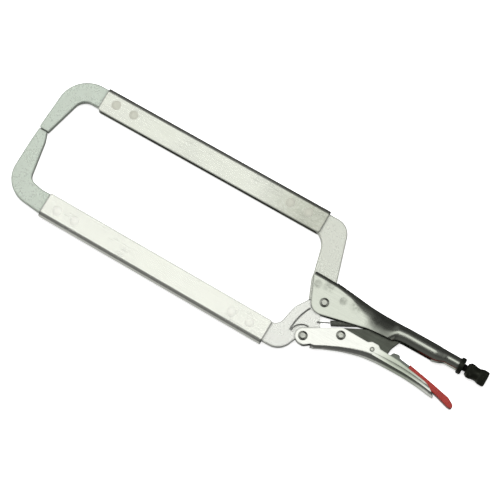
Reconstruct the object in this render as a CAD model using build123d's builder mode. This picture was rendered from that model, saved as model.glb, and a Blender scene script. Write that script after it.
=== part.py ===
"""Locking C clamp with a deep throat, closed and locked.

Frame: origin at the middle of the underside of the clamp's box, +X from the jaw tips towards
the adjusting knob, +Y from the moving arm towards the fixed arm, +Z up from the bench that
the clamp lies on. Every outline is drawn on the clamp's middle plane, in millimetres from
the main pivot. Corners are (x, y, corner radius).
"""

import os
from math import atan2, cos, degrees, hypot, radians, sin

from build123d import *

os.makedirs("parts", exist_ok=True)

# ---- driving dimensions -----------------------------------------------------------------
bar_thickness = 8.0  # flat steel of the four jaw bars
bar_edge = 1.3  # rounded edges of the jaw bars
sheet = 2.0  # pressed steel of the arms and the upper handle
lower_sheet = 1.8  # pressed steel of the lower handle
fit = 0.05  # radial clearance of a turning fit
side_play = 0.3  # gap between faces that slide past each other

arm_width = bar_thickness + 2 * sheet
arm_height = 25.6
arm_length = 257.0
arm_bend = 4.6  # outside radius where the arm's web meets its walls
arm_corner = 2.0  # rounded free corners of the arm's walls
upper_arm_y = 71.8  # middle line of the fixed arm
upper_arm_x = -168.4
lower_arm_y = -53.25  # middle line of the moving arm, halfway along it
lower_arm_x = -164.1
lower_arm_tilt = -0.55  # degrees, the closed jaws leave the arms not quite parallel
tang_length = 47.0  # length of a jaw bar inside an arm

tip_x = -339.3  # outer face of the jaw tips
tip_meeting_y = 13.7  # height at which the two tips meet
tip_gap = 0.3
knob_end = 176.6
grip_width = 18.0

jaw_pivot = (-2.2, -39.5)  # moving jaw to lower handle
link_pivot = (30.2, -20.5)  # lower handle to toggle link
link_end = (82.0, 9.0)  # end of the toggle link, facing the screw
lever_pivot = (64.0, -17.6)
screw_y = 13.0  # axis of the adjusting screw

hub_radius = 11.8  # moving jaw, round the main pivot
nose_radius = 12.3  # upper handle's walls, round the main pivot
lug_radius = 7.8  # lower handle's walls, round its jaw rivet
boss_radius = 10.5  # raised boss of the moving jaw, round the same rivet
hub_thickness = 6.8  # moving jaw where it runs inside the upper handle

arm_rivet_shank = 6.0
arm_rivet_head = 9.6
pivot_shank = 8.0
pin_shank = 7.0
pivot_head = 9.6
lever_pin_shank = 4.4
screw_diameter = 8.0

# ---- frame ------------------------------------------------------------------------------
lower_tip_x = -339.75  # foremost point of the rounded lower tip
lower_tilt = radians(-lower_arm_tilt)
lower_web_y = lower_arm_y - (arm_length * sin(lower_tilt) + arm_height * cos(lower_tilt)) / 2
upper_web_y = upper_arm_y + arm_height / 2
mid = Plane(
    origin=(
        -(lower_tip_x + knob_end) / 2,
        -(lower_web_y + upper_web_y) / 2,
        grip_width / 2,
    )
)


def outline(corners):
    """Face whose straight sides meet at (x, y, corner radius) points."""
    points = [(x, y) for x, y, _ in corners]
    radii = [radius for _, _, radius in corners]
    with BuildSketch() as shape:
        with BuildLine():
            FilletPolyline(points, radius=radii, close=True)
        make_face()
    return shape.sketch


def across(x, y, height):
    """Plane square to the length at (x, y): its x runs along +Y and its y along +Z."""
    return Plane(origin=mid.from_local_coords((x, y, height)), x_dir=(0, 1, 0), z_dir=(1, 0, 0))


def eased(stations, steps):
    """Stations along the length with more between them, on smooth curves that never overshoot."""

    def slope(column, i):
        if i in (0, len(stations) - 1):
            return 0.0
        before = (stations[i][column] - stations[i - 1][column]) / (stations[i][0] - stations[i - 1][0])
        after = (stations[i + 1][column] - stations[i][column]) / (stations[i + 1][0] - stations[i][0])
        if before * after <= 0:
            return 0.0
        return 2 * before * after / (before + after)

    result = [stations[0]]
    for i, (near, far) in enumerate(zip(stations, stations[1:])):
        span = far[0] - near[0]
        count = 1 if near[1:] == far[1:] else steps
        for step in range(1, count + 1):
            t = step / count
            values = [near[0] + span * t]
            for column in range(1, len(near)):
                start, end = near[column], far[column]
                values.append(
                    start * (2 * t**3 - 3 * t**2 + 1)
                    + end * (3 * t**2 - 2 * t**3)
                    + slope(column, i) * span * (t**3 - 2 * t**2 + t)
                    + slope(column, i + 1) * span * (t**3 - t**2)
                )
            result.append(tuple(values))
    return result


def lofted(stations, wall=0.0, overrun=0.0):
    """Solid through stations, moved in by a wall thickness.

    A station is (x, top, bottom, width, radius, reach): the section is a rectangle whose
    corners are rounded by quarter ellipses, radius deep and reach high.
    """
    first, last = stations[0][0], stations[-1][0]
    least = 0.8
    sections = []
    for x, top, bottom, width, radius, reach in stations:
        place = x + overrun * ((x == last) - (x == first))
        rise, half = max(reach - wall, least), max(radius - wall, least)
        flat_x = (top - bottom) / 2 - wall - rise
        flat_y = width / 2 - wall - half
        with BuildSketch(across(place, (top + bottom) / 2, 0)) as rounded:
            with BuildLine():
                for quarter in range(4):
                    start = 90 * quarter
                    side_x = 1 if quarter in (0, 3) else -1
                    side_y = 1 if quarter < 2 else -1
                    EllipticalCenterArc(
                        (side_x * flat_x, side_y * flat_y),
                        rise,
                        half,
                        start_angle=start,
                        arc_size=90,
                    )
                Line((-flat_x, flat_y + half), (flat_x, flat_y + half))
                Line((-flat_x, -flat_y - half), (flat_x, -flat_y - half))
                Line((flat_x + rise, -flat_y), (flat_x + rise, flat_y))
                Line((-flat_x - rise, -flat_y), (-flat_x - rise, flat_y))
            make_face()
        sections.append(rounded.sketch)
    with BuildPart() as solid:
        loft(sections=sections, ruled=True)
    return solid.part


def rivet(points, shank, head, body, rise, flat):
    """Rivets along Z at some points: two heads that rise above a body of a given width."""
    half = body / 2
    with BuildPart() as group:
        for x, y in points:
            origin = mid.from_local_coords((x, y, 0))
            with BuildSketch(Plane(origin=origin, x_dir=(1, 0, 0), z_dir=(0, -1, 0))):
                with BuildLine():
                    Polyline((0, -half - rise), (flat / 2, -half - rise))
                    ThreePointArc(
                        (flat / 2, -half - rise),
                        (flat / 2 + 0.56 * (head - flat) / 2, -half - 0.55 * rise),
                        (head / 2, -half),
                    )
                    Polyline(
                        (head / 2, -half),
                        (shank / 2, -half),
                        (shank / 2, half),
                        (head / 2, half),
                    )
                    ThreePointArc(
                        (head / 2, half),
                        (flat / 2 + 0.56 * (head - flat) / 2, half + 0.55 * rise),
                        (flat / 2, half + rise),
                    )
                    Polyline((flat / 2, half + rise), (0, half + rise), (0, -half - rise))
                make_face()
            revolve(axis=Axis(origin, (0, 0, 1)))
    return group.part


# ---- arms: pressed channels, open towards the throat ---------------------------------------
def arm_plane(x, y, tilt, web_side):
    """Middle plane of an arm, with its y axis pointing to the web."""
    angle = radians(tilt)
    along = (web_side * cos(angle), web_side * sin(angle), 0)
    return Plane(origin=mid.from_local_coords((x, y, 0)), x_dir=along, z_dir=(0, 0, 1))


def rivet_stations(web_side):
    """Places of the four rivets along an arm, from its middle, on the arm's own plane."""
    front, rear, pitch = 14.5, 19.0, 20.5
    half = arm_length / 2
    from_middle = [-half + front, -half + front + pitch, half - rear - pitch, half - rear]
    return [(web_side * x, 0) for x in from_middle]


def arm_channel(plane, web_side):
    """U channel with its web on the plane's +y side and four rivet holes."""
    half = arm_length / 2
    height = arm_height / 2
    with BuildPart() as channel:
        with BuildSketch(plane):
            add(
                outline(
                    [
                        (-half, -height, arm_corner),
                        (half, -height, arm_corner),
                        (half, height, 0),
                        (-half, height, 0),
                    ]
                )
            )
        extrude(amount=arm_width / 2, both=True)
        web = channel.faces().sort_by(Axis.Y)[-1 if web_side > 0 else 0]
        fillet(web.edges().sort_by(SortBy.LENGTH)[-2:], arm_bend)
        with BuildSketch(plane):
            with Locations((0, -sheet)):
                Rectangle(arm_length + 2, arm_height)
        extrude(amount=bar_thickness / 2, both=True, mode=Mode.SUBTRACT)
        with BuildSketch(plane):
            with Locations(*rivet_stations(web_side)):
                Circle(arm_rivet_shank / 2)
        extrude(amount=arm_width, both=True, mode=Mode.SUBTRACT)
    return channel.part


def rivet_points(plane, web_side):
    """The same rivets measured from the main pivot."""
    places = []
    for x, y in rivet_stations(web_side):
        point = mid.to_local_coords(plane.from_local_coords((x, y, 0)))
        places.append((point.X, point.Y))
    return places


upper_plane = arm_plane(upper_arm_x, upper_arm_y, 0, 1)
lower_plane = arm_plane(lower_arm_x, lower_arm_y, lower_arm_tilt, -1)
upper_arm_channel = arm_channel(upper_plane, 1)
lower_arm_channel = arm_channel(lower_plane, -1)

upper_rivets = rivet_points(upper_plane, 1)
lower_rivets = rivet_points(lower_plane, -1)


def arm_rivets(points):
    """The two nearly flush rivets that hold one jaw bar in an arm."""
    return rivet(points, arm_rivet_shank, arm_rivet_head, arm_width, rise=0.4, flat=3.0)


upper_front_rivets = arm_rivets(upper_rivets[:2])
upper_rear_rivets = arm_rivets(upper_rivets[2:])
lower_front_rivets = arm_rivets(lower_rivets[:2])
lower_rear_rivets = arm_rivets(lower_rivets[2:])

# ---- jaw bars: forged from flat steel ----------------------------------------------------------
upper_bar_top = upper_web_y - sheet
upper_bar_bottom = 61.3
tang_front = upper_arm_x - arm_length / 2 + tang_length
upper_tip_corners = [
    (tang_front, upper_bar_top, 1),
    (-335.3, upper_bar_top, 33),
    (tip_x, tip_meeting_y + tip_gap / 2, 3),
    (-328.4, tip_meeting_y + tip_gap / 2, 0.6),
    (-315.8, upper_bar_bottom, 14),
    (tang_front, upper_bar_bottom, 1),
]

lower_bar_top = -40.2
lower_bar_bottom = -62.0
lower_tang_front = lower_arm_x - arm_length / 2 + tang_length
lower_tip_corners = [
    (lower_tang_front, lower_bar_top, 1),
    (-303.0, lower_bar_top, 20),
    (-318.7, -36.8, 9),
    (-325.9, 4.5, 25),
    (-329.4, tip_meeting_y - tip_gap / 2, 0.6),
    (-338.6, tip_meeting_y - tip_gap / 2, 1.5),
    (-339.5, -5.0, 60),
    (lower_tip_x - 0.25, -57.2, 29),
    (-296.0, lower_bar_bottom, 10),
    (lower_tang_front, lower_bar_bottom, 1),
]


def jaw_bar(corners, rivets):
    """Flat bar with rounded edges and the holes of its two arm rivets."""
    with BuildPart() as bar:
        with BuildSketch(mid):
            add(outline(corners))
        extrude(amount=bar_thickness / 2, both=True)
        fillet(bar.faces().filter_by(Axis.Z).edges(), bar_edge)
        with BuildSketch(mid):
            with Locations(*rivets):
                Circle(arm_rivet_shank / 2)
        extrude(amount=bar_thickness, both=True, mode=Mode.SUBTRACT)
    return bar.part


upper_jaw_tip = jaw_bar(upper_tip_corners, upper_rivets[:2])
lower_jaw_tip = jaw_bar(lower_tip_corners, lower_rivets[:2])

# Fixed jaw root: bends down out of the upper arm and ends inside the upper handle, in a
# hollow round the moving jaw's hub.
claw = (-15.4, -4.3)  # lowest point of the fixed root, where the moving jaw begins
upper_tang_rear = upper_arm_x + arm_length / 2 - tang_length
fixed_root_corners = [
    (upper_tang_rear, 81.5, 1),
    (-16.7, 81.5, 17),
    (0.9, 24.0, 0),
    (3.4, 17.6, 3),
    (25.0, 15.4, 2),
    (25.0, 5.5, 2),
    (11.6, 3.0, 0),
    (0.0, 0.0, 0),
    claw + (0,),
    (-23.9, 16.5, 8),
    (-24.1, 20.5, 12),
    (-34.0, 61.0, 20),
    (upper_tang_rear, 61.0, 1),
]

with BuildPart() as fixed_jaw_root:
    with BuildSketch(mid):
        add(outline(fixed_root_corners))
        Circle(hub_radius + 0.4, mode=Mode.SUBTRACT)
    extrude(amount=bar_thickness / 2, both=True)
    outer_edges = (
        fixed_jaw_root.faces()
        .filter_by(Axis.Z)
        .edges()
        .filter_by(lambda edge: edge.center().Y > mid.origin.Y + 26)
    )
    fillet(outer_edges, bar_edge)
    with BuildSketch(mid):
        with Locations(*upper_rivets[2:]):
            Circle(arm_rivet_shank / 2)
    extrude(amount=bar_thickness, both=True, mode=Mode.SUBTRACT)

# Moving jaw root: bends up out of the lower arm to a thinner hub that runs between the upper
# handle's walls; a full-thickness boss carries the lower handle.
lower_tang_rear = lower_arm_x + arm_length / 2 - tang_length
shoulder = (-15.6, -4.95)  # top of the front edge, just below the claw
hook_hole = (4.3, -20.2)
groove_width = 1.9
groove_depth = 3.0
groove_layers = 5
groove_arcs = [
    [(-9.2, -11.6), (-14.4, -24.0), (-16.4, -40.4)],
    [(-15.2, -40.0), (-11.6, -32.0), (-2.0, -28.8)],
]
jaw_rear_edge = 5.6
moving_root_corners = [
    (lower_tang_rear, -42.4, 1),
    (-29.0, -42.4, 10),
    (-25.6, -25.5, 20),
    (-23.4, -16.5, 20),
    shoulder + (0,),
    (0.0, 0.0, 0),
    (2.2, -12.4, 0),
    (9.3, -24.5, 3),
    (jaw_rear_edge, jaw_pivot[1], 0),
    jaw_pivot + (0,),
    (-7.3, -45.6, 0),
    (-14.6, -63.8, 19),
    (lower_tang_rear, -63.8, 1),
]

with BuildPart() as moving_jaw_root:
    with BuildSketch(mid):
        add(outline(moving_root_corners))
        Circle(hub_radius)
        with Locations(jaw_pivot):
            Circle(lug_radius)
    extrude(amount=bar_thickness / 2, both=True)
    arm_edges = (
        moving_jaw_root.faces()
        .filter_by(Axis.Z)
        .edges()
        .filter_by(lambda edge: edge.center().X < mid.origin.X - 20)
    )
    fillet(arm_edges, bar_edge)
    # the hub is pressed thinner on both sides, up to a curved step
    for side in (1, -1):
        with BuildSketch(mid.offset(side * hub_thickness / 2)):
            with BuildLine():
                Polyline((-12.9, -3.5), (-20.0, 20.0), (20.0, 20.0), (20.0, -41.0))
                Polyline((20.0, -41.0), (-15.7, -41.0))
                RadiusArc((-15.7, -41.0), (-17.5, -39.0), -2.0)
                ThreePointArc((-17.5, -39.0), (-14.5, -22.0), (-9.0, -10.1))
                RadiusArc((-9.0, -10.1), (-12.9, -3.5), 13.4)
            make_face()
            with Locations(jaw_pivot):
                Circle(boss_radius, mode=Mode.SUBTRACT)
        extrude(amount=side * bar_thickness, mode=Mode.SUBTRACT)
        # a deeper groove follows the step and turns back over the boss
        for layer in range(groove_layers):
            sink = bar_thickness / 2 - groove_depth * (layer + 1) / groove_layers
            for arc_points in groove_arcs:
                with BuildSketch(mid.offset(side * sink)):
                    with BuildLine():
                        ThreePointArc(*arc_points)
                    trace(line_width=groove_width * (1 - layer / groove_layers))
                extrude(amount=side * bar_thickness, mode=Mode.SUBTRACT)
    with BuildSketch(mid):
        Circle(pivot_shank / 2 + fit)
        with Locations(jaw_pivot):
            Circle(pin_shank / 2 + fit)
        with Locations(hook_hole):
            Circle(1.3)
        with Locations(*lower_rivets[2:]):
            Circle(arm_rivet_shank / 2)
    extrude(amount=bar_thickness, both=True, mode=Mode.SUBTRACT)

# ---- upper handle: pressed steel, a flat cheek that widens into a round grip ------------------------
neck_width = 13.4
neck_end = 145.6
neck_bore = 10.6
bushing_length = 18.0  # threaded sleeve inside the neck
neck_top = screw_y + neck_width / 2
neck_bottom = screw_y - neck_width / 2
# stations along the length: x, top, bottom, width, corner radius, corner reach
upper_stations = eased(
    [
        (-30.0, 25.2, -22.0, arm_width, 5.0, 5.8),
        (0.0, 24.8, -22.0, arm_width, 5.0, 5.8),
        (20.0, 23.0, -24.0, arm_width, 5.0, 7.0),
        (33.0, 21.5, -26.0, arm_width, 5.2, 11.5),
        (43.0, 20.5, -28.0, 12.7, 5.9, 17.5),
        (53.0, 19.9, -28.0, 15.1, 7.2, 21.0),
        (62.0, 19.7, -24.0, 17.2, 8.4, 21.0),
        (70.0, 19.7, -16.0, 17.9, 8.8, 17.5),
        (79.0, 19.8, 0.2, grip_width, 8.9, 9.7),
        (89.0, 20.1, 2.1, grip_width, 8.9, 8.9),
        (119.0, 20.1, 2.1, grip_width, 8.9, 8.9),
        (126.0, 19.8, 3.6, 16.2, 8.0, 8.0),
        (133.0, neck_top, neck_bottom, neck_width, 6.65, 6.65),
        (neck_end, neck_top, neck_bottom, neck_width, 6.65, 6.65),
    ],
    steps=5,
)
handle_corners = [
    (-22.6, 40.0, 0),
    (-22.6, 19.6, 1.5),
    (-8.1, -14.46, nose_radius),
    (49.0, -1.35, 60),
    (83.0, 0.8, 0),
    (90.0, -4.0, 0),
    (160.0, -4.0, 0),
    (160.0, 40.0, 0),
]
spring_tab = (63.0, 11.4)
tab_thickness = 1.8

with BuildPart() as upper_handle:
    add(lofted(upper_stations))
    add(lofted(upper_stations, sheet, overrun=1), mode=Mode.SUBTRACT)
    with BuildSketch(mid):
        add(outline(handle_corners))
    extrude(amount=grip_width, both=True, mode=Mode.INTERSECT)
    with BuildSketch(across(neck_end, screw_y, 0)):
        Circle(neck_bore / 2)
    extrude(amount=-bushing_length, mode=Mode.SUBTRACT)
    # slot along the underside of the grip, for the toggle link
    with BuildSketch(mid):
        with Locations((90.0, 0)):
            Rectangle(58.0, 12.0)
    extrude(amount=4.8, both=True, mode=Mode.SUBTRACT)
    # the web is slotted where the fixed jaw root goes in
    with BuildSketch(mid):
        with Locations((-30.0, 25.0)):
            Rectangle(31.9, 12.0, align=(Align.MIN, Align.CENTER))
    extrude(amount=bar_thickness / 2, both=True, mode=Mode.SUBTRACT)
    # tab that holds the spring, inside the channel, so its hole stops short of the cheeks
    with BuildSketch(mid):
        with Locations((spring_tab[0], spring_tab[1] + 2.3)):
            Rectangle(4.0, 9.0)
    extrude(amount=tab_thickness / 2, both=True)
    with BuildSketch(mid):
        with Locations(spring_tab):
            Circle(0.9)
    extrude(amount=tab_thickness, both=True, mode=Mode.SUBTRACT)
    with BuildSketch(mid):
        Circle(pivot_shank / 2)
    extrude(amount=grip_width, both=True, mode=Mode.SUBTRACT)
    # shallow dimples left by the spot welds that hold the fixed jaw root
    dimple_radius, dimple_depth = 30.0, 0.25
    for side in (1, -1):
        for x, y in ((-14.6, 13.8), (15.8, 10.6)):
            height = side * (arm_width / 2 + dimple_radius - dimple_depth)
            with Locations(mid.from_local_coords((x, y, height))):
                Sphere(dimple_radius, mode=Mode.SUBTRACT)

main_pivot_rivet = rivet([(0, 0)], pivot_shank, pivot_head, arm_width, rise=1.5, flat=5.2)

# ---- adjusting screw, its bushing in the handle's neck and the knob ---------------------------------
bushing_flange = 17.4
flange_width = 5.0
screw_tip = 90.0
knob_start = 154.0
knob_bore = 8.0

screw_origin = mid.from_local_coords((0, screw_y, 0))
screw_axis = Axis(screw_origin, (1, 0, 0))
screw_plane = Plane(origin=screw_origin, z_dir=(0, 0, 1))

with BuildPart() as threaded_bushing:
    with BuildSketch(screw_plane):
        add(
            outline(
                [
                    (neck_end - bushing_length, screw_diameter / 2 + fit, 0),
                    (neck_end - bushing_length, neck_bore / 2, 0.5),
                    (neck_end, neck_bore / 2, 0),
                    (neck_end, bushing_flange / 2, 1.2),
                    (neck_end + flange_width, bushing_flange / 2, 1.6),
                    (neck_end + flange_width, screw_diameter / 2 + fit, 0.3),
                ]
            )
        )
    revolve(axis=screw_axis)

with BuildPart() as adjusting_screw:
    with BuildSketch(screw_plane):
        add(
            outline(
                [
                    (screw_tip, 0, 0),
                    (screw_tip, screw_diameter / 2, 0.8),
                    (knob_start + knob_bore, screw_diameter / 2, 0.3),
                    (knob_start + knob_bore, 0, 0),
                ]
            )
        )
    revolve(axis=screw_axis)

with BuildPart() as adjusting_knob:
    with BuildSketch(screw_plane):
        add(
            outline(
                [
                    (knob_start, 0, 0),
                    (knob_start, 6.4, 1.0),
                    (knob_start + 2.2, 7.8, 1.0),
                    (knob_start + 7.0, 7.7, 6.0),
                    (knob_start + 12.0, 6.8, 8.0),
                    (knob_start + 17.5, 8.1, 5.0),
                    (knob_end - 1.0, 8.1, 1.8),
                    (knob_end, 4.5, 3.0),
                    (knob_end, 0, 0),
                ]
            )
        )
    revolve(axis=screw_axis)
    with BuildSketch(across(knob_start, screw_y, 0)):
        Circle(screw_diameter / 2 + fit)
    extrude(amount=knob_bore + side_play, mode=Mode.SUBTRACT)

# ---- lower handle: pressed steel, open above, two lugs at its front end ------------------------------
lower_inner_gap = bar_thickness + 2 * side_play
lower_width = lower_inner_gap + 2 * lower_sheet
lower_end = 138.8
lower_open = 10.0  # the section is left open above this height
lower_stations = eased(
    [
        (8.6, lower_open, -45.6, lower_width, 3.0, 3.0),
        (20.0, lower_open, -41.0, lower_width, 3.4, 3.4),
        (36.0, lower_open, -34.7, lower_width, 4.6, 4.6),
        (47.0, lower_open, -31.4, 12.7, 5.7, 5.7),
        (60.0, lower_open, -28.4, 13.8, 6.6, 6.6),
        (78.0, lower_open, -26.7, 15.4, 7.4, 7.4),
        (100.0, lower_open, -26.4, 16.2, 7.8, 7.8),
        (120.0, lower_open, -27.6, 16.4, 7.9, 7.9),
        (lower_end, lower_open, -29.8, 16.4, 7.9, 7.9),
    ],
    steps=3,
)
lower_handle_corners = [
    (-31.0, -47.3, 0),
    (28.2, -12.8, 9),
    (lever_pivot[0] - 7.0, -13.3, 2.5),
    (lever_pivot[0] - 3.6, -10.9, 3),
    (lever_pivot[0] + 3.6, -10.9, 3),
    (lever_pivot[0] + 7.0, -13.6, 2.5),
    (92.0, -14.6, 60),
    (128.0, -20.4, 25),
    (lower_end, -28.4, 3),
    (lower_end, -60.0, 0),
    (8.6, -60.0, 0),
]
ledge_height = 7.05  # above the middle plane
ledge_points = [(66.0, -19.6), (82.0, -18.8), (98.0, -18.8), (114.0, -20.1), (lower_end + 1, -24.9)]
lug_corners = [
    (-31.0, -47.3, lug_radius),
    (27.0, -13.5, 8),
    (27.0, -33.5, 0),
    (9.4, -42.0, 0),
    (2.0, -47.3, 5),
]

with BuildPart() as lower_handle:
    add(lofted(lower_stations))
    add(lofted(lower_stations, lower_sheet, overrun=1), mode=Mode.SUBTRACT)
    with BuildSketch(mid):
        add(outline(lower_handle_corners))
    extrude(amount=grip_width, both=True, mode=Mode.INTERSECT)
    # a pressed ledge runs along the outer edge of both walls, deeper towards the end
    for side in (1, -1):
        with BuildSketch(mid.offset(side * ledge_height)):
            with BuildLine():
                Spline(*ledge_points)
                Polyline(ledge_points[-1], (lower_end + 1, -40), (ledge_points[0][0], -40), ledge_points[0])
            make_face()
        extrude(amount=side * grip_width, mode=Mode.SUBTRACT)
    # the web starts clear of the moving jaw's boss
    with BuildSketch(mid):
        with Locations(jaw_pivot):
            Circle(boss_radius + 2.5)
    extrude(amount=lower_inner_gap / 2, both=True, mode=Mode.SUBTRACT)
    for side in (1, -1):
        with BuildSketch(mid.offset(side * lower_inner_gap / 2)):
            add(outline(lug_corners))
        extrude(amount=side * lower_sheet)
    with BuildSketch(mid):
        with Locations(jaw_pivot, link_pivot):
            Circle(pin_shank / 2)
        with Locations(lever_pivot):
            Circle(lever_pin_shank / 2)
    extrude(amount=grip_width, both=True, mode=Mode.SUBTRACT)

# outside width of the handle where the lever pin goes through it
lever_pin_width = max(width for x, _, _, width, _, _ in lower_stations if x < lever_pivot[0] + 5)
jaw_handle_rivet = rivet([jaw_pivot], pin_shank, pivot_head, lower_width, rise=1.5, flat=5.2)
link_rivet = rivet([link_pivot], pin_shank, pivot_head, lower_width, rise=1.5, flat=5.2)
lever_pin = rivet([lever_pivot], lever_pin_shank, lever_pin_shank + 0.2, lever_pin_width, 0.4, 3.0)

# ---- toggle link: flat plate between the handles ---------------------------------------------------
link_thickness = 6.5
link_pivot_radius = 8.0
link_end_radius = 5.0
link_corners = [
    (26.4, -13.6, 0),
    (79.5, 13.3, 0),
    link_end + (0,),
    (86.9, 8.6, 0),
    (83.4, 1.0, 12),
    (80.0, -6.5, 14),
    (79.4, -14.4, 1.2),
    (75.0, -14.6, 1.5),
    (70.0, -13.8, 3),
    (56.0, -13.8, 8),
    (34.0, -27.5, 0),
    link_pivot + (0,),
]

with BuildPart() as toggle_link:
    with BuildSketch(mid):
        add(outline(link_corners))
        with Locations(link_pivot):
            Circle(link_pivot_radius)
        with Locations(link_end):
            Circle(link_end_radius)
    extrude(amount=link_thickness / 2, both=True)
    fillet(toggle_link.faces().filter_by(Axis.Z).edges(), 0.5)
    with BuildSketch(mid):
        with Locations(link_pivot):
            Circle(pin_shank / 2 + fit)
    extrude(amount=link_thickness, both=True, mode=Mode.SUBTRACT)

# ---- release lever: a narrow channel inside the lower handle, its tail dipped in vinyl ----------------
lever_width = 7.6
lever_sheet = 1.6
dip = 0.9
dip_start = 104.0
lever_corners = [
    (59.8, -16.4, 2),
    (80.5, -16.4, 1.5),
    (84.2, -9.6, 2),
    (90.4, -8.6, 1.8),
    (92.4, -11.5, 1.5),
    (106.0, -13.3, 30),
    (132.0, -18.2, 60),
    (152.0, -22.6, 10),
    (158.7, -26.6, 3),
    (159.6, -29.6, 1.0),
    (156.0, -29.4, 3),
    (138.0, -24.2, 60),
    (104.0, -20.6, 60),
    (59.8, -21.4, 2),
]


def lever_body(grow, width):
    """The lever's filled outline, grown by a skin thickness."""
    with BuildPart() as body:
        with BuildSketch(mid):
            add(outline(lever_corners))
            if grow:
                offset(amount=grow)
        extrude(amount=width / 2, both=True)
    return body.part


with BuildPart() as release_lever:
    add(lever_body(0, lever_width))
    # hollow below the web and between the two walls, open below and at the front
    with BuildSketch(mid):
        with Locations((-lever_sheet, -lever_sheet)):
            add(outline(lever_corners))
    extrude(amount=lever_width / 2 - lever_sheet, both=True, mode=Mode.SUBTRACT)
    with BuildSketch(mid):
        with Locations(lever_pivot):
            Circle(lever_pin_shank / 2 + fit)
    extrude(amount=lever_width, both=True, mode=Mode.SUBTRACT)

with BuildPart() as lever_tail_cover:
    add(lever_body(dip, lever_width + 2 * dip))
    with BuildSketch(mid):
        with Locations((dip_start, -20.0)):
            Rectangle(80.0, 60.0, align=(Align.MIN, Align.CENTER))
    extrude(amount=grip_width, both=True, mode=Mode.INTERSECT)
    fillet(lever_tail_cover.faces().filter_by(Axis.Z).edges(), 0.8)
    add(lever_body(0, lever_width), mode=Mode.SUBTRACT)

# ---- return spring: from the hook hole in the moving jaw to the tab in the upper handle ------------
spring_outside = 6.4
spring_wire = 1.2
spring_front = 12.4  # hook hole to the first coil
spring_rear = 6.2  # last coil to the tab
spring_run = (spring_tab[0] - hook_hole[0], spring_tab[1] - hook_hole[1])
spring_length = hypot(*spring_run)
spring_angle = degrees(atan2(spring_run[1], spring_run[0]))
spring_direction = Vector(cos(radians(spring_angle)), sin(radians(spring_angle)), 0)
hook_rise = hub_thickness / 2 + spring_wire / 2 + 0.2
spring_plane = Plane(
    origin=mid.from_local_coords(hook_hole + (0,)),
    x_dir=spring_direction,
    z_dir=spring_direction.cross(Vector(0, 0, 1)),
)


def hook(path):
    """Wire through (distance along the spring, height) points."""
    with BuildPart() as wire:
        with BuildLine(spring_plane) as route:
            FilletPolyline(path, radius=spring_wire * 0.75)
        with BuildSketch(Plane(origin=route.line @ 0, z_dir=route.line % 0)):
            Circle(spring_wire / 2)
        sweep(path=route.line)
    return wire.part


with BuildPart() as return_spring:
    coil_start = spring_plane.from_local_coords((spring_front, 0, 0))
    with BuildSketch(Plane(origin=coil_start, z_dir=spring_direction)):
        Circle(spring_outside / 2)
        Circle(spring_outside / 2 - spring_wire, mode=Mode.SUBTRACT)
    extrude(amount=spring_length - spring_front - spring_rear)
    mean = (spring_outside - spring_wire) / 2
    add(hook([(0, 0.8), (0, hook_rise), (spring_front - 4, hook_rise), (spring_front + 1, mean)]))
    add(
        hook(
            [
                (spring_length, -0.6),
                (spring_length, 1.9),
                (spring_length - 3.0, 1.9),
                (spring_length - spring_rear - 1.0, mean),
            ]
        )
    )

pieces = {
    "upper_handle": upper_handle.part,
    "threaded_bushing": threaded_bushing.part,
    "fixed_jaw_root": fixed_jaw_root.part,
    "upper_arm_channel": upper_arm_channel,
    "upper_jaw_tip": upper_jaw_tip,
    "upper_front_rivets": upper_front_rivets,
    "upper_rear_rivets": upper_rear_rivets,
    "main_pivot_rivet": main_pivot_rivet,
    "moving_jaw_root": moving_jaw_root.part,
    "lower_arm_channel": lower_arm_channel,
    "lower_jaw_tip": lower_jaw_tip,
    "lower_front_rivets": lower_front_rivets,
    "lower_rear_rivets": lower_rear_rivets,
    "lower_handle": lower_handle.part,
    "jaw_handle_rivet": jaw_handle_rivet,
    "link_rivet": link_rivet,
    "lever_pin": lever_pin,
    "toggle_link": toggle_link.part,
    "release_lever": release_lever.part,
    "lever_tail_cover": lever_tail_cover.part,
    "adjusting_screw": adjusting_screw.part,
    "adjusting_knob": adjusting_knob.part,
    "return_spring": return_spring.part,
}

for name, piece in pieces.items():
    piece.label = name
    export_step(piece, f"parts/{name}.step")
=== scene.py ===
import math

import bpy
from mathutils import Matrix, Vector


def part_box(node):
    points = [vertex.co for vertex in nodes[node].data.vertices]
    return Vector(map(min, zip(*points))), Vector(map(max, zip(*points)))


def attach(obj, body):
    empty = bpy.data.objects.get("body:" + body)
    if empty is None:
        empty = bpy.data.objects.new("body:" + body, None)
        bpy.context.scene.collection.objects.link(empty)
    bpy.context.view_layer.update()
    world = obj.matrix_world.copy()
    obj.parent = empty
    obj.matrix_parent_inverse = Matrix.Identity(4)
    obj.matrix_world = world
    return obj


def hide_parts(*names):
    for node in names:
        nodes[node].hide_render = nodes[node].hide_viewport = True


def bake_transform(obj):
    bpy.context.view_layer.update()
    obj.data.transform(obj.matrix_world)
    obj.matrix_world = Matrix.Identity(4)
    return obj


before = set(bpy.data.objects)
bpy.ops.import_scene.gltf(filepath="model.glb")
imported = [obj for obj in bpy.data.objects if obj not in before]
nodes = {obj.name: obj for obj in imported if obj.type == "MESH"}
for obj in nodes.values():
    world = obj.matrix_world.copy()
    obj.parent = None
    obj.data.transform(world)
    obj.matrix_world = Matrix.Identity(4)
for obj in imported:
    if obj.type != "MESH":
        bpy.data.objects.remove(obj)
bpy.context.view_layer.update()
MM = 0.001


def centre(node):
    low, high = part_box(node)
    return (low + high) / 2


PIVOT = centre("main_pivot_rivet")


def from_pivot(x, y):
    """A place on the clamp's middle plane, this many millimetres from the main pivot."""
    return PIVOT + Vector((x, y, 0)) * MM


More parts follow.
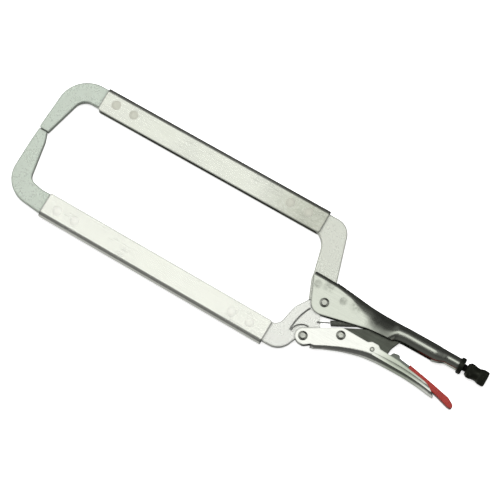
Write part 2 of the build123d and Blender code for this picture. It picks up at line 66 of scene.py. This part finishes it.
# ---- directions: the clamp lies turned in the view, and the camera leans off the vertical ----
TURN = math.radians(29.88)
TILT = math.radians(12.0)
Z = Vector((0, 0, 1))
RIGHT = Vector((math.cos(TURN), math.sin(TURN), 0))
UP_FLAT = Vector((-math.sin(TURN), math.cos(TURN), 0))
UP = UP_FLAT * math.cos(TILT) + Z * math.sin(TILT)
BACK = -UP_FLAT * math.sin(TILT) + Z * math.cos(TILT)
# level faces reflect what lies along MIRROR, the lower handle's rounded web what lies along FLOOR_SIDE
MIRROR = UP_FLAT * math.sin(TILT) + Z * math.cos(TILT)
FLOOR_SIDE = Vector((-0.42, -0.90, -0.70))

# soft lights of the surround: direction, full within and gone beyond these degrees, brightness
LOBES = [
    (MIRROR, 9, 20, 1.0),
    (MIRROR, 15, 50, 0.10),
    (FLOOR_SIDE, 20, 46, 0.42),
    (-Z, 12, 38, 0.22),
    (Vector((0.1, -1.0, 0.1)), 25, 60, 0.055),
    (Vector((1.0, 0.25, 0.22)), 20, 56, 0.34),
    (Vector((-1.0, 0.35, 0.22)), 20, 56, 0.34),
    (-RIGHT - Z * 0.2, 25, 60, 0.40),
]
GLOW = 0.045
SKY_TINT = (0.99, 1.0, 0.955)
BACKDROP = (0.95, 0.95, 0.95)

SOFTBOX_DISTANCE = 2.2
SOFTBOX_SIZE = 1.6
SOFTBOX_POWER = 45.0

FLOOR_REACH = 6.0
FLOOR_DROP = 0.0004
FLOOR_GLOW = 0.72

CAMERA_AIM = from_pivot(-91.19, 10.55)
CAMERA_DISTANCE = 2.0833
CAMERA_LENS = 150.0
CAMERA_SENSOR = 36.0
CAMERA_FAR = 50.0


# ---- node graphs ---------------------------------------------------------------------------
class Graph:
    """A small helper that lays out the nodes of one material or of the world."""

    def __init__(self, owner, shader="Principled BSDF"):
        owner.use_nodes = True
        self.tree = owner.node_tree
        self.shader = self.tree.nodes[shader]
        self.count = 0

    def node(self, kind, **settings):
        made = self.tree.nodes.new("ShaderNode" + kind)
        made.location = (-1600 + 180 * (self.count % 8), 400 - 220 * (self.count // 8))
        self.count += 1
        for key, value in settings.items():
            setattr(made, key, value)
        return made

    def link(self, source, target):
        self.tree.links.new(source, target)

    def feed(self, target, value):
        if hasattr(value, "is_output"):
            self.link(value, target)
        else:
            target.default_value = value

    def set(self, name, value):
        self.feed(self.shader.inputs[name], value)

    def place(self, stretch=(1, 1, 1)):
        """Object coordinates in millimetres, stretched along each axis."""
        coords = self.node("TexCoord")
        scaled = self.node("Mapping")
        scaled.inputs["Scale"].default_value = [s / MM for s in stretch]
        self.link(coords.outputs["Object"], scaled.inputs["Vector"])
        return scaled.outputs["Vector"]

    def noise(self, scale, stretch=(1, 1, 1), detail=4.0, rough=0.5, distort=0.0):
        made = self.node("TexNoise")
        self.link(self.place(stretch), made.inputs["Vector"])
        made.inputs["Scale"].default_value = scale
        made.inputs["Detail"].default_value = detail
        made.inputs["Roughness"].default_value = rough
        made.inputs["Distortion"].default_value = distort
        return made.outputs["Fac"]

    def cells(self, scale):
        made = self.node("TexVoronoi")
        self.link(self.place(), made.inputs["Vector"])
        made.inputs["Scale"].default_value = scale
        return made.outputs["Distance"]

    def spread(self, value, low, high, to_low=0.0, to_high=1.0, smooth=False):
        made = self.node("MapRange", clamp=True)
        if smooth:
            made.interpolation_type = "SMOOTHSTEP"
        self.feed(made.inputs["Value"], value)
        for name, number in zip(("From Min", "From Max", "To Min", "To Max"), (low, high, to_low, to_high)):
            made.inputs[name].default_value = number
        return made.outputs["Result"]

    def maths(self, operation, a, b=0.0, c=0.0):
        made = self.node("Math", operation=operation)
        for socket, value in zip(made.inputs, (a, b, c)):
            self.feed(socket, value)
        return made.outputs["Value"]

    def vector_maths(self, operation, a, b):
        made = self.node("VectorMath", operation=operation)
        self.feed(made.inputs[0], a)
        self.feed(made.inputs[1], b)
        return made.outputs

    def tinted(self, value, tint):
        """One value as a colour, with a gain for each channel."""
        made = self.node("CombineColor")
        for channel, gain in zip(("Red", "Green", "Blue"), tint):
            self.link(self.maths("MULTIPLY", value, gain), made.inputs[channel])
        return made.outputs["Color"]

    def mix(self, factor, a, b, blend="MIX"):
        made = self.node("Mix", data_type="RGBA", blend_type=blend)
        self.feed(made.inputs["Factor"], factor)
        for key, value in ((6, a), (7, b)):
            if not hasattr(value, "is_output"):
                value = (*value, 1)
            self.feed(made.inputs[key], value)
        return made.outputs[2]

    def bump(self, height, distance_mm, normal=None):
        made = self.node("Bump")
        made.inputs["Strength"].default_value = 1.0
        made.inputs["Distance"].default_value = distance_mm * MM
        self.feed(made.inputs["Height"], height)
        if normal is not None:
            self.link(normal, made.inputs["Normal"])
        return made.outputs["Normal"]

    def smudge(self, colour, spot, reach_mm, shade, least):
        """A cloudy grey mark round one spot, such as heat tint beside a weld, or painted shade on a
        surface; least is its thinnest.
        """
        coords = self.node("TexCoord").outputs["Object"]
        flat = self.vector_maths("MULTIPLY", coords, (1, 1, 0))["Vector"]
        away = self.vector_maths("DISTANCE", flat, (spot.x, spot.y, 0))["Value"]
        near = self.spread(away, 0.15 * reach_mm * MM, reach_mm * MM, 1.0, 0.0, smooth=True)
        haze = self.noise(0.28, detail=5.0, rough=0.65, distort=0.8)
        cloud = self.spread(haze, 0.35, 0.62, least, 0.88)
        return self.mix(self.maths("MULTIPLY", near, cloud), colour, shade)

    def painted_ao_shade(self, colour, reach_mm, floor, inside=False):
        """The colour darkened by ambient occlusion, a painted shade: where another face stands close, in
        corners and gaps, or with inside set, along thin edges.
        """
        made = self.node("AmbientOcclusion", samples=6, inside=inside, only_local=inside)
        made.inputs["Distance"].default_value = reach_mm * MM
        shade = self.spread(made.outputs["AO"], 0.35, 1.0, floor, 1.0)
        return self.mix(1.0, colour, shade, "MULTIPLY")


# ---- procedural materials ------------------------------------------------------------------
def darker(colour, share):
    return tuple(c * share for c in colour)


ROLLED_GRAIN = (0.03, 1.4, 1.4)
EVEN_GRAIN = (1, 1, 1)


def plated(name, light, dark, rough, spread=0.08, mottle=0.12, grain=ROLLED_GRAIN, grain_depth=0.006,
           speck=0.25, metallic=1.0, corner_shade=0.35, edge_shade=0.62, marks=()):
    """Plated or bare steel: cloudy colour, fine lines from rolling, small specks, and painted shade in
    corners and along thin edges.
    """
    material = bpy.data.materials.new(name)
    g = Graph(material)
    cloud = g.noise(mottle, detail=5.0, rough=0.6)
    fine = g.noise(1.1, detail=6.0, rough=0.65)
    lines = g.noise(1.0, stretch=grain, detail=5.0, rough=0.7)
    specks = g.cells(0.55)
    base = g.mix(g.spread(cloud, 0.32, 0.68), dark, light)
    toned = g.mix(g.spread(lines, 0.35, 0.75, to_high=0.22), base, darker(dark, 0.72))
    marked = g.mix(g.spread(specks, 0.04, 0.16, to_low=speck, to_high=0.0), toned, darker(dark, 0.45))
    for (x, y), reach_mm, shade, least in marks:
        marked = g.smudge(marked, from_pivot(x, y), reach_mm, shade, least)
    # painted shade: ambient occlusion darkens the colour in corners and gaps, then along thin edges
    corner_shaded = g.painted_ao_shade(marked, reach_mm=2.2, floor=corner_shade)
    g.set("Base Color", g.painted_ao_shade(corner_shaded, reach_mm=1.4, floor=edge_shade, inside=True))
    g.set("Metallic", metallic)
    cloud_wear, line_wear = (g.spread(pattern, 0.3, 0.7, -spread, spread) for pattern in (cloud, lines))
    fine_wear = g.maths("MULTIPLY_ADD", fine, spread, rough - spread / 2)
    g.set("Roughness", g.maths("ADD", fine_wear, g.maths("ADD", cloud_wear, line_wear)))
    g.set("Normal", g.bump(fine, 0.012, normal=g.bump(lines, grain_depth)))
    return material


def forged(name, light, dark, rough):
    """Forged and plated bar: soft hammer waves, pits and cloudy plating."""
    material = bpy.data.materials.new(name)
    g = Graph(material)
    cloud = g.noise(0.07, detail=6.0, rough=0.62, distort=0.6)
    fine = g.noise(0.9, detail=7.0, rough=0.7)
    pits = g.cells(0.45)
    waves = g.noise(0.09, detail=3.0)
    base = g.mix(g.spread(cloud, 0.3, 0.7), dark, light)
    toned = g.mix(g.spread(fine, 0.45, 0.8, to_high=0.2), base, darker(dark, 0.75))
    pitted = g.mix(g.spread(pits, 0.03, 0.15, to_low=0.22, to_high=0.0), toned, darker(dark, 0.5))
    # painted shade: ambient occlusion darkens the colour in corners and gaps, then along thin edges
    corner_shaded = g.painted_ao_shade(pitted, reach_mm=2.6, floor=0.28)
    g.set("Base Color", g.painted_ao_shade(corner_shaded, reach_mm=0.9, floor=0.7, inside=True))
    g.set("Metallic", 0.5)
    wear = g.spread(fine, 0.3, 0.7, -0.06, 0.06)
    g.set("Roughness", g.maths("ADD", wear, g.spread(cloud, 0.3, 0.7, rough - 0.05, rough + 0.05)))
    g.set("Normal", g.bump(pits, 0.012, normal=g.bump(fine, 0.018, normal=g.bump(waves, 0.08))))
    return material


def black_oxide(name, tint, rough=0.38):
    """Blackened steel with a little bare metal showing on worn places."""
    material = bpy.data.materials.new(name)
    g = Graph(material)
    cloud = g.noise(0.35, detail=5.0, rough=0.6)
    fine = g.noise(2.2, detail=6.0, rough=0.7)
    worn = g.spread(g.maths("MULTIPLY", cloud, fine), 0.30, 0.42, to_high=0.5)
    g.set("Base Color", g.mix(worn, tint, tuple(c * 3.2 + 0.03 for c in tint)))
    g.set("Metallic", 0.85)
    g.set("Roughness", g.spread(fine, 0.3, 0.7, rough - 0.08, rough + 0.12))
    g.set("Normal", g.bump(fine, 0.02, normal=g.bump(cloud, 0.03)))
    return material


def vinyl(name):
    """Dipped vinyl: soft gloss, slight orange peel, small cloudy colour changes."""
    material = bpy.data.materials.new(name)
    g = Graph(material)
    cloud = g.noise(0.12, detail=4.0, rough=0.55)
    peel = g.noise(1.6, detail=3.0, rough=0.5)
    g.set("Base Color", g.mix(g.spread(cloud, 0.3, 0.7), (0.29, 0.017, 0.012), (0.38, 0.026, 0.018)))
    g.set("Metallic", 0.0)
    g.set("Roughness", g.spread(peel, 0.3, 0.7, 0.30, 0.44))
    g.set("Subsurface Weight", 0.06)
    g.set("Subsurface Radius", (0.002, 0.0006, 0.0004))
    g.set("Subsurface Scale", 0.5)
    g.set("Coat Weight", 0.15)
    g.set("Coat Roughness", 0.2)
    g.set("Normal", g.bump(peel, 0.02, normal=g.bump(cloud, 0.15)))
    return material


def studio_floor(name):
    """Pale matt paper that shines a little, so that it stays even under the object."""
    material = bpy.data.materials.new(name)
    g = Graph(material)
    g.set("Base Color", (0.9, 0.9, 0.9, 1))
    g.set("Roughness", 0.9)
    g.set("Emission Color", (1, 1, 1, 1))
    g.set("Emission Strength", FLOOR_GLOW)
    return material


# marks: place from the main pivot and reach, both in mm, shade, and the share of it where it is thinnest
HEAT = (0.38, 0.40, 0.36)
# painted shade: this dark grey darkens the upper handle's cheek where it slopes into the grip, in place of
# the dimmer reflection there
CHEEK_SHADE = (0.17, 0.18, 0.16)
PATCH_GREY = (0.50, 0.55, 0.46)
ARM_PATCH_GREY = (0.46, 0.475, 0.41)
WELD_TINTS_AND_CHEEK_SHADE = [
    ((-15.2, 13.0), 6.5, HEAT, 0.2),
    ((15.8, 10.6), 6.0, HEAT, 0.2),
    ((-4.0, 17.0), 9.0, HEAT, 0.1),
    ((30.0, 13.0), 10.0, HEAT, 0.1),
    # the next two marks are painted shade on the sloping cheek, not weld tint
    ((54.0, 9.0), 13.0, CHEEK_SHADE, 0.5),
    ((66.0, 4.0), 17.0, CHEEK_SHADE, 0.9),
]
# a wide grey patch that darkens the lower handle round this spot
LOWER_HANDLE_GREYING = [((98.0, -18.0), 42.0, PATCH_GREY, 0.9)]
# a wide grey patch that darkens the upper arm round this spot
UPPER_ARM_GREYING = [((-48.0, 72.0), 80.0, ARM_PATCH_GREY, 0.6)]

MATERIALS = {
    "arms": plated(
        "arm_plate", (0.90, 0.91, 0.86), (0.82, 0.83, 0.775), 0.21,
        mottle=0.035, speck=0.2, metallic=0.85, edge_shade=0.2),
    # painted shade: the upper arm gets a darker copy of the lower arm's plating, the same steel shown less
    # lit
    "upper_arm": plated(
        "upper_arm_shaded_plate", (0.82, 0.835, 0.78), (0.73, 0.745, 0.685), 0.21,
        mottle=0.035, speck=0.2, metallic=0.92, edge_shade=0.25, marks=UPPER_ARM_GREYING),
    "jaw_tips": forged("jaw_tip_forging", (0.60, 0.665, 0.595), (0.51, 0.565, 0.50), 0.30),
    # painted light and shade: both jaw roots are one forging, the fixed root given a darker copy and the
    # moving root a lighter one
    "fixed_shaded_root": forged("fixed_root_forging", (0.68, 0.70, 0.635), (0.60, 0.62, 0.56), 0.30),
    "moving_lit_root": forged("moving_root_forging", (0.82, 0.83, 0.79), (0.74, 0.75, 0.71), 0.30),
    # painted light and shade: both handles are the same plating, the upper handle given a darker copy and
    # the lower handle a lighter one
    "upper_handle_shaded": plated(
        "handle_plate", (0.75, 0.78, 0.71), (0.67, 0.70, 0.635), 0.22,
        spread=0.04, mottle=0.05, grain_depth=0.004, speck=0.12, marks=WELD_TINTS_AND_CHEEK_SHADE),
    "lower_handle": plated(
        "lower_handle_lit_plate", (0.98, 0.985, 0.955), (0.92, 0.93, 0.89), 0.20,
        spread=0.04, mottle=0.05, grain_depth=0.004, speck=0.12, marks=LOWER_HANDLE_GREYING),
    "link": plated("link_plate", (0.22, 0.235, 0.20), (0.15, 0.165, 0.14), 0.42, mottle=0.1, speck=0.3),
    "rivets": plated(
        "rivet_plate", (0.78, 0.80, 0.74), (0.66, 0.68, 0.62), 0.30,
        mottle=0.3, grain=EVEN_GRAIN),
    # painted light and shade: the arm rivets are all alike, the upper ones given a darker copy and the
    # lower ones a lighter one
    "upper_shaded_rivets": plated(
        "upper_rivet_shaded_plate", (0.66, 0.665, 0.58), (0.58, 0.585, 0.50), 0.42,
        mottle=0.3, grain=EVEN_GRAIN, metallic=0.25, corner_shade=0.9, edge_shade=0.95),
    "lower_lit_rivets": plated(
        "lower_rivet_lit_plate", (0.93, 0.935, 0.87), (0.87, 0.875, 0.80), 0.36,
        mottle=0.3, grain=EVEN_GRAIN, metallic=0.25, corner_shade=0.9, edge_shade=0.95),
    "lever": plated("lever_plate", (0.27, 0.29, 0.26), (0.18, 0.20, 0.18), 0.33, mottle=0.1),
    "spring": plated(
        "spring_wire", (0.34, 0.36, 0.31), (0.24, 0.255, 0.22), 0.34,
        mottle=0.4, grain=EVEN_GRAIN, metallic=0.4),
    "black": black_oxide("knob_black", (0.036, 0.040, 0.030)),
    "thread": black_oxide("thread_black", (0.030, 0.030, 0.027), 0.34),
    "vinyl": vinyl("red_vinyl"),
    "floor": studio_floor("pale_floor"),
}

WEARS = {
    "upper_arm_channel": "upper_arm", "lower_arm_channel": "arms",
    "upper_jaw_tip": "jaw_tips", "lower_jaw_tip": "jaw_tips",
    "fixed_jaw_root": "fixed_shaded_root", "moving_jaw_root": "moving_lit_root",
    "upper_handle": "upper_handle_shaded", "lower_handle": "lower_handle",
    "upper_front_rivets": "upper_shaded_rivets", "upper_rear_rivets": "upper_shaded_rivets",
    "lower_front_rivets": "lower_lit_rivets", "lower_rear_rivets": "lower_lit_rivets",
    "main_pivot_rivet": "rivets", "jaw_handle_rivet": "rivets",
    "link_rivet": "rivets", "lever_pin": "rivets",
    "toggle_link": "link", "release_lever": "lever", "lever_tail_cover": "vinyl",
    "threaded_bushing": "black", "adjusting_screw": "thread", "adjusting_knob": "black",
    "return_spring": "spring",
}
for name, look in WEARS.items():
    obj = nodes[name]
    if not obj.material_slots:
        obj.data.materials.append(None)
    for slot in obj.material_slots:
        slot.material = MATERIALS[look]


# ---- pieces made again in finer detail -----------------------------------------------------
def piece(name, verts, faces, look):
    mesh = bpy.data.meshes.new(name)
    mesh.from_pydata([tuple(v) for v in verts], [], faces)
    mesh.validate()
    mesh.materials.append(MATERIALS[look])
    mesh.shade_smooth()
    made = bpy.data.objects.new(name, mesh)
    bpy.context.scene.collection.objects.link(made)
    return made


def skinned(name, rings, look):
    """A closed body over rings of points, each of them counter-clockwise about the way ahead."""
    sides = len(rings[0])
    faces = []
    for start in range(0, (len(rings) - 1) * sides, sides):
        for k in range(sides):
            a = start + k
            b = start + (k + 1) % sides
            faces.append((b, b + sides, a + sides, a))
    last = (len(rings) - 1) * sides
    faces.append(tuple(reversed(range(sides))))
    faces.append(tuple(range(last, last + sides)))
    return piece(name, [point for ring in rings for point in ring], faces, look)


def turned(name, stations, radius, sides, axis_point, look):
    """A body round a line along X: radius(x, turn) gives its outline."""
    rings = []
    for x in stations:
        ring = []
        for k in range(sides):
            turn = 2 * math.pi * k / sides
            r = radius(x, turn)
            ring.append((x, axis_point.y + r * math.cos(turn), axis_point.z + r * math.sin(turn)))
        rings.append(ring)
    return skinned(name, rings, look)


def tube(name, path, radius, sides, look):
    """Round wire along a list of points."""
    rings = []
    tangent = (path[1] - path[0]).normalized()
    side = tangent.orthogonal().normalized()
    for i, point in enumerate(path):
        ahead = (path[min(i + 1, len(path) - 1)] - path[max(i - 1, 0)]).normalized()
        side = tangent.rotation_difference(ahead) @ side
        side = (side - ahead * side.dot(ahead)).normalized()
        tangent = ahead
        other = ahead.cross(side)
        ring = []
        for k in range(sides):
            turn = 2 * math.pi * k / sides
            ring.append(point + (side * math.cos(turn) + other * math.sin(turn)) * radius)
        rings.append(ring)
    return skinned(name, rings, look)


def even_steps(low, high, steps):
    return [low + (high - low) * i / steps for i in range(steps + 1)]


def clamped(t):
    return min(1.0, max(0.0, t))


def smooth_step(t):
    t = clamped(t)
    return t * t * (3 - 2 * t)


def zigzag(t):
    """A wave from 1 at whole numbers down to 0 halfway between them."""
    return abs((t % 1) - 0.5) * 2


def profile(points, x):
    for (xa, ra), (xb, rb) in zip(points, points[1:]):
        if x <= xb:
            return ra + (rb - ra) * smooth_step((x - xa) / (xb - xa))
    return points[-1][1]


# ---- knob: a waisted barrel with two knurled bands; millimetres from its front end ----
KNOB_OUTLINE = [
    (0.0, 5.2), (0.3, 6.0), (0.9, 6.4), (1.9, 7.1), (2.6, 7.65), (3.4, 7.8), (6.0, 7.75), (7.4, 7.35),
    (9.0, 6.95), (11.0, 6.8), (13.0, 6.95), (14.6, 7.5), (15.8, 7.95), (17.0, 8.1), (21.0, 8.1),
    (21.8, 7.9), (22.3, 7.2), (22.6, 6.2),
]
# each band: its start, the run over which it deepens, its end and the run over which it fades
KNURLED_BANDS = [(2.9, 0.6, 7.0, 0.8), (15.2, 0.7, 21.6, 0.6)]
KNURLS = 40
KNURL_DEPTH = 0.42
KNURL_SHARPNESS = 1.5
KNURL_SLANT = 0.44
KNURL_CROSSING = 10
KNOB_STEPS = 150
knob_low, knob_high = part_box("adjusting_knob")


def knob_radius(x, turn):
    along = (x - knob_low.x) / MM
    band = sum(smooth_step((along - start) / run_in) * smooth_step((end - along) / run_out)
               for start, run_in, end, run_out in KNURLED_BANDS)
    ridge = turn * KNURLS / (2 * math.pi)
    slant = KNURL_SLANT * (along - KNURL_CROSSING)
    groove = max(1 - zigzag(ridge + slant), 1 - zigzag(ridge - slant)) ** KNURL_SHARPNESS
    return (profile(KNOB_OUTLINE, along) - KNURL_DEPTH * band * groove) * MM


stations = even_steps(knob_low.x, knob_high.x, KNOB_STEPS)
knob = turned("knurled_knob", stations, knob_radius, KNURLS * 8, centre("adjusting_knob"), "black")
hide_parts("adjusting_knob")
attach(knob, "adjusting_knob")

# ---- screw: one thread from end to end, with a reduced tip; millimetres ----
PITCH = 1.25
THREAD_ROOT = 3.35
THREAD_HEIGHT = 0.65
THREAD_FLAT = 0.12
TIP_RADIUS = 3.15
TIP_RISE = 0.85
TIP_LENGTH = 1.4
STEPS_PER_PITCH = 8
SCREW_SIDES = 40
screw_low, screw_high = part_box("adjusting_screw")


def thread_radius(x, turn):
    along = (x - screw_low.x) / MM
    wave = zigzag(along / PITCH - turn / (2 * math.pi))
    crest = clamped((wave - THREAD_FLAT) / (1 - 2 * THREAD_FLAT))
    tip = TIP_RADIUS + TIP_RISE * smooth_step(along / TIP_LENGTH)
    return min(tip, THREAD_ROOT + THREAD_HEIGHT * crest) * MM


steps = int((screw_high.x - screw_low.x) / MM / PITCH * STEPS_PER_PITCH)
stations = even_steps(screw_low.x, screw_high.x, steps)
screw = turned("threaded_screw", stations, thread_radius, SCREW_SIDES, centre("adjusting_screw"), "thread")
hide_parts("adjusting_screw")
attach(screw, "adjusting_screw")

# ---- spring: from the hook hole in the moving jaw to the tab in the upper handle; millimetres ----
HOOK = from_pivot(4.3, -20.2)
TAB = from_pivot(63.0, 11.4)
RUN = (TAB - HOOK).normalized()
SIDE = Vector((-RUN.y, RUN.x, 0))
SPAN = (TAB - HOOK).length / MM
WIRE_RADIUS = 0.6
COIL_RADIUS = 2.6
COIL_START = 12.4
COIL_END = SPAN - 6.2
COIL_TURNS = 38
STEPS_PER_TURN = 16
WIRE_SIDES = 10
HOOK_HEIGHT = 4.2
TAB_HEIGHT = 1.9
LEAD = 1.2


def spring_point(s, n, z):
    return HOOK + (RUN * s + SIDE * n + Z * z) * MM


def towards(corner, other, reach):
    """The point this far from the corner on the way to the other point, or halfway if that is nearer."""
    share = min(0.5, reach / math.dist(corner, other))
    return [c + (o - c) * share for c, o in zip(corner, other)]


def rounded(points, reach, steps=8):
    """The points with each corner swept round."""
    result = [points[0]]
    for before, corner, after in zip(points, points[1:], points[2:]):
        near = towards(corner, before, reach)
        far = towards(corner, after, reach)
        for i in range(steps + 1):
            t = i / steps
            result.append(tuple((1 - t) ** 2 * p + 2 * t * (1 - t) * q + t * t * r
                                for p, q, r in zip(near, corner, far)))
    result.append(points[-1])
    return result


def coil_point(share):
    turn = 2 * math.pi * COIL_TURNS * share
    s = COIL_START + (COIL_END - COIL_START) * share
    return s, COIL_RADIUS * math.sin(turn), COIL_RADIUS * math.cos(turn)


front_hook = rounded([
    (0, 0, 0.8),
    (0, 0, HOOK_HEIGHT),
    (COIL_START - 5, 0, HOOK_HEIGHT),
    (COIL_START - LEAD, 0, COIL_RADIUS),
], 1.6)
rear_hook = rounded([
    (COIL_END + LEAD, 0, COIL_RADIUS),
    (SPAN - 3.2, 0, TAB_HEIGHT),
    (SPAN, 0, TAB_HEIGHT),
    (SPAN, 0, -0.6),
], 1.2)
coil = [coil_point(share) for share in even_steps(0, 1, COIL_TURNS * STEPS_PER_TURN)]
path = [spring_point(*p) for p in front_hook + coil + rear_hook]
spring = tube("coil_spring", path, WIRE_RADIUS * MM, WIRE_SIDES, "spring")
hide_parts("return_spring")
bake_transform(spring)

# ---- floor, light and camera -----------------------------------------------------------------
corners = [(x * FLOOR_REACH, y * FLOOR_REACH, -FLOOR_DROP) for x, y in ((-1, -1), (1, -1), (1, 1), (-1, 1))]
floor = piece("floor", corners, [(0, 1, 2, 3)], "floor")
floor.visible_glossy = False
floor.visible_diffuse = False


def studio_world():
    """Studio surround: soft lights on a dim glow, and an even backdrop for the camera alone."""
    world = bpy.data.worlds.new("studio")
    bpy.context.scene.world = world
    g = Graph(world, "Background")
    coords = g.node("TexCoord").outputs["Generated"]
    total = GLOW
    for direction, inner, outer, level in LOBES:
        facing = g.vector_maths("DOT_PRODUCT", coords, direction.normalized())["Value"]
        edges = (math.cos(math.radians(outer)), math.cos(math.radians(inner)))
        total = g.maths("ADD", total, g.spread(facing, *edges, to_high=level, smooth=True))
    seen = g.node("LightPath").outputs["Is Camera Ray"]
    g.set("Color", g.mix(seen, g.tinted(total, SKY_TINT), BACKDROP))
    g.set("Strength", 1.0)


def soft_lamp(name, place, target, size, power):
    data = bpy.data.lights.new(name, "AREA")
    data.shape = "DISK"
    data.size = size
    data.energy = power
    lamp = bpy.data.objects.new(name, data)
    bpy.context.scene.collection.objects.link(lamp)
    lamp.location = place
    lamp.rotation_euler = (target - place).to_track_quat("-Z", "Y").to_euler()
    lamp.visible_glossy = False


def place_camera():
    data = bpy.data.cameras.new("camera")
    data.lens = CAMERA_LENS
    data.sensor_width = CAMERA_SENSOR
    data.clip_end = CAMERA_FAR
    camera = bpy.data.objects.new("camera", data)
    bpy.context.scene.collection.objects.link(camera)
    axes = Matrix((RIGHT, UP, BACK)).transposed().to_4x4()
    camera.matrix_world = Matrix.Translation(CAMERA_AIM + BACK * CAMERA_DISTANCE) @ axes
    bpy.context.scene.camera = camera


studio_world()
soft_lamp("overhead_softbox", MIRROR * SOFTBOX_DISTANCE, Vector((0, 0, 0)), SOFTBOX_SIZE, SOFTBOX_POWER)
place_camera()
bpy.context.scene.view_settings.view_transform = "Standard"
